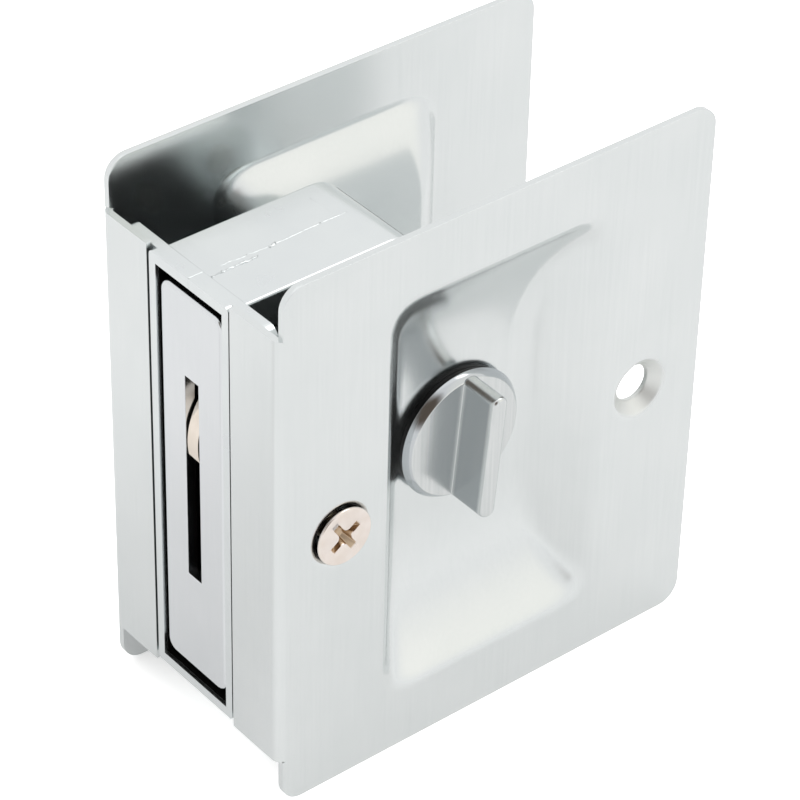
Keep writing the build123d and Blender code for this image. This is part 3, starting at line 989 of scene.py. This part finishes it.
    def build(self) -> None:
        """Make the plate with its thickness and rounded rim, and dress it."""
        piece = self.skin()
        if self.side is Side.REAR:
            piece.mirror()
        name = f"{self.side.value}_plate"
        obj = piece.done(f"{name}_stamping", closed=False)
        add_modifier(
            obj,
            "SOLIDIFY",
            thickness=self.sheet * MM,
            offset=-1.0,
            use_even_offset=True,
            use_quality_normals=True,
        )
        round_edges(obj, self.rim_radius)
        dress(obj, SATIN_CHROME_SHEET, Body.LOCK, name)


@dataclass
class PlateScrew:
    """Flat-head screw with a punched cross recess, not driven home.

    The recess's mouth and foot are each the half length of its arms, half their width, and the radius
    between two arms.
    """

    side: Side
    x: float = SCREW_X
    top_y: float = -19.2
    head_radius: float = 4.25
    head_edge: float = 0.22
    land: float = 0.35
    land_edge: float = 0.1
    cone: float = 2.25
    shank_radius: float = 2.0
    shank_edge: float = 0.3
    length: float = 10.8
    head_step_deg: float = 15.0
    recess_turn_deg: float = 34.0
    recess_depth: float = 1.6
    recess_step_deg: float = 10.0
    mouth: Corner = (2.62, 0.53, 0.75)
    foot: Corner = (1.0, 0.36, 0.3)
    arm_corner: float = 0.12
    punch_spare: float = 0.1
    recess_edge: float = 0.07
    recess_sharp_deg: float = 50.0

    def cross(self, level: Corner, y: float) -> list[Corner]:
        """Outline of the recess at one depth.

        Args:
            level: Half length of its arms, half their width, and the radius between two arms.
            y: Where it lies.

        Returns:
            Its points.
        """
        reach, half, corner = level
        tip = self.arm_corner
        corners: list[Corner] = []
        for quarter in range(4):
            spin = Matrix.Rotation(math.pi / 2 * quarter, 2)
            for u, v, radius in ((reach, -half, tip), (reach, half, tip), (half, half, corner)):
                corners.append((*(spin @ Vector((u, v))), radius))
        turn = Matrix.Rotation(math.radians(self.recess_turn_deg), 2)
        spots = [turn @ Vector(point) for point in fillet_path(corners, self.recess_step_deg)]
        return [(self.x + spot.x, y, spot.y) for spot in spots]

    def recess(self) -> bpy.types.Object:
        """Make the form that the punch leaves.

        Returns:
            The cutter.
        """
        cutter = Workpiece()
        slope = self.punch_spare / self.recess_depth
        wide = tuple(a + (a - b) * slope for a, b in zip(self.mouth, self.foot))
        first = cutter.ring(self.cross(wide, self.top_y - self.punch_spare))
        last = cutter.ring(self.cross(self.foot, self.top_y + self.recess_depth))
        cutter.loft([first, last], capped=True)
        return cutter.done("recess_punch")

    def build(self) -> None:
        """Turn the screw, punch its recess and dress it."""
        piece = Workpiece()
        under = self.top_y + self.land
        end = self.top_y + self.length
        profile = fillet_path(
            [
                (0.0, self.top_y, 0),
                (self.head_radius, self.top_y, self.head_edge),
                (self.head_radius, under, self.land_edge),
                (self.shank_radius, under + self.cone, self.shank_edge),
                (self.shank_radius, end, self.shank_edge),
                (0.0, end, 0),
            ],
            self.head_step_deg,
        )
        piece.lathe(profile, (self.x, 0.0))
        name = f"{self.side.value}_plate_screw"
        obj = piece.done(f"{name}_turned")
        carve(obj, self.recess())
        if self.side is Side.REAR:
            obj.data.transform(Matrix.Scale(-1, 4, (0, 1, 0)))
            obj.data.flip_normals()
        round_edges(obj, self.recess_edge, segments=2, angle=self.recess_sharp_deg)
        dress(obj, NICKEL_SCREW, Body.LOCK, name)


@dataclass
class ThumbTurn:
    """Turned disc with a chamfered rim and an upright wing, on a grooved stem."""

    radius: float = 9.75
    face_y: float = -12.3
    face_edge: float = 8.85
    face_round: float = 0.12
    shoulder: Point = (9.35, -11.8)
    shoulder_round: float = 2.5
    back_y: float = -11.15
    back_round: float = 0.05
    stem_radius: float = 5.9
    stem_end_y: float = -8.3
    groove_radius: float = 5.3
    groove: Point = (-8.95, -8.5)
    rim_step_deg: float = 5.0
    rim_count: int = 144
    wing_length: float = 18.9
    wing_thick: float = 2.5
    wing_end: float = 1.15
    wing_edge: float = 0.7
    wing_top_y: float = -18.5
    wing_step_deg: float = 7.5
    wing_steps: int = 6
    root: float = 0.1
    lean_deg: float = 5.0

    def disc(self, piece: Workpiece) -> None:
        """Add the disc, with a polished and slightly crowned chamfer round its face, and its stem."""
        profile: list[Corner] = [
            (0.0, self.face_y, 0),
            (self.face_edge, self.face_y, self.face_round),
            (*self.shoulder, self.shoulder_round),
            (self.radius, self.back_y, self.back_round),
            (self.stem_radius, self.back_y, 0),
            (self.stem_radius, self.groove[0], 0),
            (self.groove_radius, self.groove[0], 0),
            (self.groove_radius, self.groove[1], 0),
            (self.stem_radius, self.groove[1], 0),
            (self.stem_radius, self.stem_end_y, 0),
            (0.0, self.stem_end_y, 0),
        ]
        piece.lathe(fillet_path(profile, self.rim_step_deg), count=self.rim_count)

    def wing(self, piece: Workpiece) -> None:
        """Add the wing, with a small fillet at its root and rounded edges at its top."""
        lean = Matrix.Rotation(math.radians(-self.lean_deg), 2)
        angles = [math.pi / 2 * k / self.wing_steps for k in range(self.wing_steps + 1)]
        levels = [(self.face_y + self.root, 0.0)]
        levels += [(self.face_y - self.root * math.sin(a), self.root * math.cos(a)) for a in angles]
        for a in angles:
            top = self.wing_top_y + self.wing_edge * (1 - math.sin(a))
            levels.append((top, -self.wing_edge * (1 - math.cos(a))))
        rows = []
        for y, grow in levels:
            half_thick = self.wing_thick / 2 + grow
            half_length = self.wing_length / 2 + min(grow, 0.0)
            path = box_path(half_thick, half_length, self.wing_end + grow, self.wing_step_deg)
            spots = [lean @ Vector(point) for point in path]
            rows.append(piece.ring((spot.x, y, spot.y) for spot in spots))
        piece.loft(rows, capped=True)

    def build(self) -> None:
        """Make the turn and dress it."""
        piece = Workpiece()
        self.disc(piece)
        self.wing(piece)
        obj = piece.done("thumb_turn_brushed")
        even_shading(obj)
        dress(obj, CHROME_TURN, Body.TURN, "thumb_turn")


@dataclass
class CaseHalf:
    """Die-cast half of the case, with the rounding that its tool left on the outer edges."""

    side: Side
    half_width: float = 8.25
    ear_back: float = 2.6
    ear_top: float = 33.5
    outline_round: float = 0.45
    ear_round: float = 0.18
    seam_round: float = 0.1
    round_steps: int = 4
    near: float = 0.02
    join: float = 1e-3
    flat_deg: float = 0.5
    sharp_deg: float = 50.0
    crease_deg: float = 35.0

    def rounding(self, edge: bmesh.types.BMEdge) -> float:
        """Radius that the tool left on an edge.

        Args:
            edge: An edge of the half, in millimetres.

        Returns:
            The radius, or 0 where the edge stays sharp.
        """
        if len(edge.link_faces) != 2 or edge.calc_face_angle_signed() < math.radians(self.sharp_deg):
            return 0.0
        ends = [vert.co for vert in edge.verts]
        ear_x = EDGE_X + self.ear_back
        behind_ear = all(end.x > ear_x - self.near for end in ends)
        beside_ear = all(end.x < ear_x + self.near for end in ends)
        if behind_ear and all(abs(abs(end.y) - self.half_width) < self.near for end in ends):
            return self.outline_round
        if beside_ear and all(abs(end.y) < self.near for end in ends):
            return self.seam_round
        if all(abs(abs(end.z) - self.ear_top) < self.near for end in ends):
            return self.ear_round
        return 0.0

    def build(self, frame: dict[str, Any]) -> None:
        """Round the half's outer edges and dress it.
        """
        name = f"case_{self.side.value}_half"
        node = frame["nodes"][name]
        piece = Workpiece()
        bm = piece.bm
        bm.from_mesh(node.data)
        to_mm = Matrix.Scale(1 / MM, 4) @ node.matrix_world
        bmesh.ops.transform(bm, matrix=to_mm, verts=bm.verts)
        bmesh.ops.remove_doubles(bm, verts=bm.verts, dist=self.join)
        flat = math.radians(self.flat_deg)
        bmesh.ops.dissolve_limit(bm, angle_limit=flat, verts=bm.verts, edges=bm.edges)
        for radius in (self.outline_round, self.ear_round, self.seam_round):
            bmesh.ops.bevel(
                bm,
                geom=[edge for edge in bm.edges if self.rounding(edge) == radius],
                offset=radius,
                offset_type="OFFSET",
                segments=self.round_steps,
                profile=0.5,
                affect="EDGES",
                clamp_overlap=False,
            )
        crease = math.radians(self.crease_deg)
        for edge in bm.edges:
            edge.smooth = len(edge.link_faces) == 2 and edge.calc_face_angle() < crease
        obj = piece.done(f"{name}_casting")
        even_shading(obj)
        dress(obj, PLATED_CASTING, Body.LOCK, name)


@dataclass(frozen=True)
class Ridge:
    """One stretch of a casting seam.

    Attributes:
        path: (distance from the door's edge, Y) of its corners.
        width: Its width.
        height: Its height.
        wobble: How far it strays to either side.
    """

    path: tuple[Point, ...]
    width: float
    height: float
    wobble: float


@dataclass
class PartingFlash:
    """Thin, ragged seam that the casting tool left along the top of the case."""

    top_z: float = 33.0
    seed: int = 7
    pitch: float = 0.35
    width_share: Point = (0.6, 1.2)
    crest_share: Point = (0.35, 1.0)
    ridges: tuple[Ridge, ...] = (
        Ridge(path=((2.9, -0.9), (4.6, -0.8), (10.3, -0.85)), width=0.3, height=0.24, wobble=0.12),
        Ridge(path=((5.0, 0.5), (9.5, 0.25), (13.0, 0.15)), width=0.34, height=0.06, wobble=0.12),
        Ridge(path=((13.2, 0.1), (21.0, 0.35), (25.2, 0.3)), width=0.42, height=0.09, wobble=0.06),
        Ridge(path=((12.7, 0.0), (13.7, 0.15)), width=1.2, height=0.4, wobble=0.05),
        Ridge(path=((23.4, 5.5), (23.6, -0.3)), width=0.2, height=0.05, wobble=0.02),
    )

    def add(self, piece: Workpiece, ridge: Ridge) -> None:
        """Add one stretch of seam.

        Args:
            piece: The mesh.
            ridge: The stretch.
        """
        chance = random.Random(self.seed + len(piece.bm.verts))
        foot = self.top_z - ridge.height
        rows = []
        for (x0, y0), (x1, y1) in zip(ridge.path, ridge.path[1:]):
            along = Vector((x1 - x0, y1 - y0))
            across = Vector((-along.y, along.x)).normalized()
            count = max(2, round(along.length / self.pitch))
            for k in range(count + 1):
                stray = across * chance.uniform(-ridge.wobble, ridge.wobble)
                middle = Vector((x0, y0)) + along * k / count + stray
                half = across * ridge.width * chance.uniform(*self.width_share) / 2
                crest = self.top_z + ridge.height * chance.uniform(*self.crest_share)
                spots = ((middle - half, foot), (middle, crest), (middle + half, foot))
                rows.append(piece.ring((EDGE_X + spot.x, spot.y, z) for spot, z in spots))
        piece.loft(rows, capped=True)

    def build(self) -> None:
        """Make the seam and dress it."""
        piece = Workpiece()
        for ridge in self.ridges:
            self.add(piece, ridge)
        dress(piece.done("case_parting_flash"), PLATED_CASTING, Body.LOCK)


@dataclass
class PullSpring:
    """Bent strip behind the pull, whose free end goes in with the pull's upper end.

    Places are (distance from the door's edge, Z).
    """

    fixed_end: Point = (23.9, 31.7)
    knee: Point = (7.6, 31.7)
    toe: Point = (2.2, 27.3)
    tip: Point = (4.6, 24.3)
    bend: float = 1.5
    thick: float = 0.4
    half_width: float = 2.0
    edge: float = 0.08
    edge_step_deg: float = 45.0
    pitch: float = 0.5
    hold: Point = (19.0, 31.7)
    loose: Point = (3.4, 28.0)

    def route(self) -> list[Vector]:
        """Middle line of the strip.

        Returns:
            Points in (X, Z), close enough for it to bend smoothly.
        """
        corners = [(*self.fixed_end, 0), (*self.knee, self.bend), (*self.toe, self.bend), (*self.tip, 0)]
        bent = [Vector(point) for point in fillet_path(corners)]
        points = [bent[0]]
        for start, end in zip(bent, bent[1:]):
            count = max(1, math.ceil((end - start).length / self.pitch))
            points += [start.lerp(end, k / count) for k in range(1, count + 1)]
        return [point + Vector((EDGE_X, 0)) for point in points]

    def build(self) -> None:
        """Make the strip and give it its finish, in place of the CAD spring."""
        piece = Workpiece()
        line = self.route()
        section = box_path(self.thick / 2, self.half_width, self.edge, self.edge_step_deg)
        rows = []
        for k, point in enumerate(line):
            along = (line[min(k + 1, len(line) - 1)] - line[max(k - 1, 0)]).normalized()
            across = Vector((-along.y, along.x))
            spots = [(point + across * u, v) for u, v in section]
            rows.append(piece.ring((spot.x, v, spot.y) for spot, v in spots))
        piece.loft(rows, capped=True)
        obj = piece.done("pull_spring_strip")
        obj.data.materials.append(SPRING_STEEL.material())
        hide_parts("pull_spring")
        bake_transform(obj)
        bodies = f"{Body.LOCK.value} to {Body.PULL.value}"
        LOG.info("%s: %s, bends from %s", obj.name, SPRING_STEEL.name, bodies)


@dataclass
class CarriedParts:
    """CAD parts that keep their own solids and get a finish and broken edges."""

    edge: float = 0.1
    weld_m: float = 1e-6

    def build(self, frame: dict[str, Any]) -> None:
        """Dress the parts.
        """
        finishes = {
            PLATED_CASTING: ("cam_hub",),
            SATIN_CHROME_PULL: ("edge_pull",),
            DRAWN_STEEL: ("case_rivets", "pull_pivot_pin", "hook_pivot_pin", "crank_pin", "turn_spindle"),
            SPRING_STEEL: ("hub_detent_spring", "turn_retaining_ring", "release_retaining_ring"),
            NICKEL_STEEL: ("hook_latch",),
            CHROME_TURN: ("release_turn",),
            MOULDED_NYLON: ("turn_washer",),
        }
        for finish, names in finishes.items():
            for name in names:
                node = frame["nodes"][name]
                node.data.materials.clear()
                node.data.materials.append(finish.material())
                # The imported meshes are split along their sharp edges, so they are joined before rounding.
                add_modifier(node, "WELD", merge_threshold=self.weld_m)
                round_edges(node, self.edge)
                LOG.info("%s: %s on its own solid", name, finish.name)


@dataclass(frozen=True)
class Card:
    """Soft-edged patch of the studio's walls.

    Attributes:
        way: Direction from the lock to its middle.
        outer_deg: Angle from that direction where it ends.
        inner_deg: Angle within which it has its full tone.
        tone: Its linear colour.
    """

    way: Corner
    outer_deg: float
    inner_deg: float
    tone: Colour


# The camera's side of the studio is unlit, so polished edges that face it turn dark and brown.
UNLIT_SIDE = Card(way=(-0.52, -0.66, 0.54), outer_deg=34.0, inner_deg=14.0, tone=linear("#6A5F56"))
# A large warm reflector stands at the front on the right, and lights the swept ends of the cups.
REFLECTOR = Card(way=(0.51, -0.65, 0.55), outer_deg=36.0, inner_deg=6.0, tone=(1.13, 1.115, 1.07, 1.0))
# A strip light above it draws a white line along rounded top edges.
STRIP_LIGHT = Card(way=(0.51, -0.12, 0.85), outer_deg=17.0, inner_deg=9.0, tone=(3.0, 3.0, 3.0, 1.0))


@dataclass
class Studio:
    """Floor, light and the camera of the photograph."""

    azimuth_deg: float = -39.80
    elevation_deg: float = 36.88
    roll_deg: float = 1.43
    distance_mm: float = 483.2
    slide_mm: Point = (0.79, 1.06)
    focal_px: float = 3622.0
    frame_px: float = 800.0
    sensor_mm: float = 36.0
    clip_start_m: float = 0.02
    floor_half_m: float = 0.24
    floor_tone: str = "#B7B7B7"
    floor_shown: float = 1.3
    floor_glow: float = 0.48
    # Painted shadow: the table's glow drops to this strength in a strip behind the lock.
    shadow_glow: float = 0.37
    shadow_y_m: float = 0.028
    shadow_reach_m: Point = (0.006, 0.045)
    ambient: float = 1.12
    cards: tuple[Card, ...] = (UNLIT_SIDE, REFLECTOR, STRIP_LIGHT)
    lamp_place_m: Corner = (0.0, 0.1, 1.2)
    lamp_size_m: float = 1.3
    lamp_power_w: float = 0.9

    def camera(self) -> None:
        """Set up the camera at the photograph's viewing angle."""
        az, el, roll = (math.radians(a) for a in (self.azimuth_deg, self.elevation_deg, self.roll_deg))
        back = Vector((math.sin(az) * math.cos(el), -math.cos(az) * math.cos(el), math.sin(el)))
        right = Vector((math.cos(az), math.sin(az), 0))
        up = back.cross(right)
        across = right * math.cos(roll) + up * math.sin(roll)
        upward = up * math.cos(roll) - right * math.sin(roll)
        place = back * self.distance_mm - across * self.slide_mm[0] - upward * self.slide_mm[1]
        data = bpy.data.cameras.new("photo_camera")
        data.sensor_width = self.sensor_mm
        data.lens = self.focal_px / self.frame_px * self.sensor_mm
        data.clip_start = self.clip_start_m
        camera = bpy.data.objects.new("photo_camera", data)
        pose = Matrix((across, upward, back)).transposed().to_4x4()
        camera.matrix_world = Matrix.Translation(place * MM) @ pose
        bpy.context.scene.collection.objects.link(camera)
        bpy.context.scene.camera = camera

    def floor_material(self) -> bpy.types.Material:
        """Make the white light table's material.

        Returns:
            The material.
        """
        material = bpy.data.materials.new("white_light_table")
        material.use_nodes = True
        tree = material.node_tree
        tree.nodes.clear()
        number, levels = "ShaderNodeMath", "ShaderNodeMapRange"
        seen = add_node(tree, "ShaderNodeLightPath").outputs["Is Camera Ray"]
        shown = (self.floor_shown, self.floor_shown, self.floor_shown, 1.0)
        tones = {"Factor": seen, 6: linear(self.floor_tone), 7: shown}
        colour = add_node(tree, "ShaderNodeMix", tones, data_type="RGBA")
        paper = add_node(tree, "ShaderNodeBsdfDiffuse", {"Color": colour.outputs[2]})
        # The table's glow is turned down in a strip close behind the lock, a painted shadow of the lock.
        place = add_node(tree, "ShaderNodeTexCoord").outputs["Object"]
        depth = add_node(tree, "ShaderNodeSeparateXYZ", {0: place}).outputs["Y"]
        offset = add_node(tree, number, {0: depth, 1: self.shadow_y_m}, operation="SUBTRACT").outputs[0]
        away = add_node(tree, number, {0: offset}, operation="ABSOLUTE").outputs[0]
        fade = {
            "Value": away,
            "From Min": self.shadow_reach_m[0],
            "From Max": self.shadow_reach_m[1],
            "To Min": self.shadow_glow,
            "To Max": self.floor_glow,
        }
        strength = add_node(tree, levels, fade, interpolation_type="SMOOTHSTEP").outputs["Result"]
        glow = add_node(tree, "ShaderNodeEmission", {"Color": (1, 1, 1, 1), "Strength": strength})
        shader = add_node(tree, "ShaderNodeAddShader", {0: paper.outputs[0], 1: glow.outputs[0]})
        add_node(tree, "ShaderNodeOutputMaterial", {"Surface": shader.outputs[0]})
        return material

    def floor(self, level: float) -> None:
        """Lay a plain white light table under the lock.

        Args:
            level: Its height in metres.
        """
        mesh = bpy.data.meshes.new("studio_floor")
        half = self.floor_half_m
        spots = [(-half, -half, level), (half, -half, level), (half, half, level), (-half, half, level)]
        mesh.from_pydata(spots, [], [(0, 1, 2, 3)])
        mesh.materials.append(self.floor_material())
        obj = bpy.data.objects.new("studio_floor", mesh)
        bpy.context.scene.collection.objects.link(obj)
        obj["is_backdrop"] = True

    def walls(self) -> None:
        """Set up a white world with its cards."""
        world = bpy.data.worlds.new("white_studio")
        bpy.context.scene.world = world
        world.use_nodes = True
        tree = world.node_tree
        tree.nodes.clear()
        # The background is plain white to the eye and in reflections, and a little stronger as light.
        rays = add_node(tree, "ShaderNodeLightPath").outputs
        seen = rays["Is Camera Ray"]
        for kind in ("Is Glossy Ray", "Is Transmission Ray"):
            either = {0: seen, 1: rays[kind]}
            seen = add_node(tree, "ShaderNodeMath", either, operation="MAXIMUM").outputs[0]
        levels = "ShaderNodeMapRange"
        power = {"Value": seen, "To Min": self.ambient, "To Max": 1.0}
        strength = add_node(tree, levels, power).outputs["Result"]
        way = add_node(tree, "ShaderNodeTexCoord").outputs["Generated"]
        colour: Any = (1.0, 1.0, 1.0, 1.0)
        for card in self.cards:
            middle = Vector(card.way).normalized()
            facing = add_node(tree, "ShaderNodeVectorMath", {0: way, 1: middle}, operation="DOT_PRODUCT")
            edge = {
                "Value": facing.outputs["Value"],
                "From Min": math.cos(math.radians(card.outer_deg)),
                "From Max": math.cos(math.radians(card.inner_deg)),
            }
            share = add_node(tree, levels, edge, interpolation_type="SMOOTHSTEP").outputs["Result"]
            tones = {"Factor": share, 6: colour, 7: card.tone}
            colour = add_node(tree, "ShaderNodeMix", tones, data_type="RGBA").outputs[2]
        sky = add_node(tree, "ShaderNodeBackground", {"Color": colour, "Strength": strength})
        add_node(tree, "ShaderNodeOutputWorld", {"Surface": sky.outputs["Background"]})

    def lamp(self) -> None:
        """Hang a large soft box above the lock."""
        lamp = bpy.data.lights.new("top_soft_box", "AREA")
        lamp.shape = "SQUARE"
        lamp.size = self.lamp_size_m
        lamp.energy = self.lamp_power_w
        obj = bpy.data.objects.new("top_soft_box", lamp)
        obj.location = self.lamp_place_m
        obj.rotation_euler = Vector(self.lamp_place_m).to_track_quat("Z", "Y").to_euler()
        bpy.context.scene.collection.objects.link(obj)

    def build(self, level: float) -> None:
        """Set up the whole studio.

        Args:
            level: Height of the floor in metres.
        """
        self.camera()
        self.floor(level)
        self.walls()
        self.lamp()
        bpy.context.scene.view_settings.view_transform = "Standard"


def main() -> None:
    """Build the lock round its frame, and report each piece."""
    logging.basicConfig(level=logging.INFO, format="%(message)s")
    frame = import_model()
    cad_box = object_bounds()
    CarriedParts().build(frame)
    for side in Side:
        CaseHalf(side).build(frame)
        FacePlate(side).build()
        PlateScrew(side).build()
    ThumbTurn().build()
    PullSpring().build()
    PartingFlash().build()
    Studio().build(cad_box[0][2])


if __name__ == "__main__":
    main()
